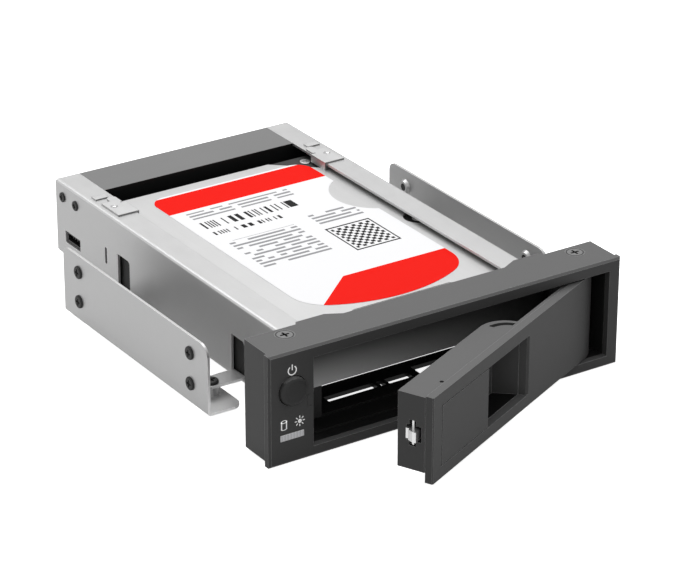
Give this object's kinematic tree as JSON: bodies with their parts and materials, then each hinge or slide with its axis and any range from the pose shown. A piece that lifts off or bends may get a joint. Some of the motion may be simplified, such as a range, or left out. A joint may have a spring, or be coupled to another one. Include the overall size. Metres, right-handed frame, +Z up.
{
  "type": "hot swap drive cage",
  "caption": "Bay-mounted steel cage with a black bezel and a side-hinged latching door that seats and ejects one hard drive.",
  "frame": {"origin": "centre of the four bottom fixing holes, on the brackets' bottom face", "axes": "+X to the door's hinge side, +Y from the bezel towards the rear ports, +Z up"},
  "size_m": [0.148, 0.2338, 0.042],
  "materials": {
    "black_plastic": "satin",
    "gloss_black": "gloss",
    "button_black": "satin",
    "led_lens": "gloss",
    "green_board": "satin",
    "black_part": "matte",
    "pin_steel": "satin",
    "bolt_steel": "bright",
    "zinc_sheet": "satin zinc coat",
    "black_screw": "black zinc",
    "drive_cast": "dark satin coat",
    "drive_lid": "satin",
    "label_print": "printed film"
  },
  "bodies": {
    "cage": {"front_bezel": "black_plastic", "bezel_frame": "gloss_black", "bezel_screws": "black_screw", "strike_catch": "black_part", "led_window": "led_lens", "button_switch": "black_part", "front_board": "green_board", "hinge_pins": "pin_steel", "drive_cage": "zinc_sheet", "cage_screws": "black_screw", "right_top_clip": "zinc_sheet", "left_top_clip": "zinc_sheet", "rear_housing": "black_plastic", "housing_screws": "black_screw", "backplane_board": "green_board", "drive_socket": "black_part", "data_port": "black_part", "power_port": "black_part", "side_port": "black_part", "right_bracket": "zinc_sheet", "left_bracket": "zinc_sheet", "right_bracket_screws": "black_screw", "left_bracket_screws": "black_screw", "tab_screws": "black_screw"},
    "door": {"door_panel": "black_plastic", "door_back": "gloss_black", "handle_pin": "pin_steel", "latch_spring": "pin_steel"},
    "handle": {"door_handle": "black_plastic"},
    "latch": {"latch_bolt": "bolt_steel"},
    "button": {"power_button": "button_black"},
    "drive": {"drive_casting": "drive_cast", "drive_cover": "drive_lid", "lid_screws": "pin_steel", "drive_label": "label_print", "drive_board": "green_board", "drive_plug": "black_part"}
  },
  "joints": [
    {"name": "door_hinge", "type": "hinge", "parent": "cage", "child": "door", "pos_m": [0.0544, -0.07883, 0.0192], "axis": [0, 0, 1], "range_deg": [-25.6, 64.4], "deforming": ["strike_catch"]},
    {"name": "handle_pull", "type": "hinge", "parent": "door", "child": "handle", "pos_m": [-0.02915, -0.12917, 0.0192], "axis": [0, 0, -1], "range_deg": [0, 24], "stiffness_Nm_per_rad": 0.02, "springref_deg": -11.46, "deforming": ["latch_spring"]},
    {"name": "latch_slide", "type": "slide", "parent": "door", "child": "latch", "axis": [0.9018, 0.4321, 0], "range_m": [0, 0.0024]},
    {"name": "button_press", "type": "slide", "parent": "cage", "child": "button", "axis": [0, 1, 0], "range_m": [0, 0.0012], "stiffness_N_per_m": 800, "springref_m": -0.0005},
    {"name": "drive_slide", "type": "slide", "parent": "cage", "child": "drive", "axis": [0, -1, 0], "range_m": [-0.0012, 0.00302]}
  ],
  "couplings": [
    {"joint": "latch_slide", "follows": "handle_pull", "m_per_rad": 0.0052},
    {"joint": "door_hinge", "follows": "drive_slide", "rad_per_m": 372.3}
  ]
}
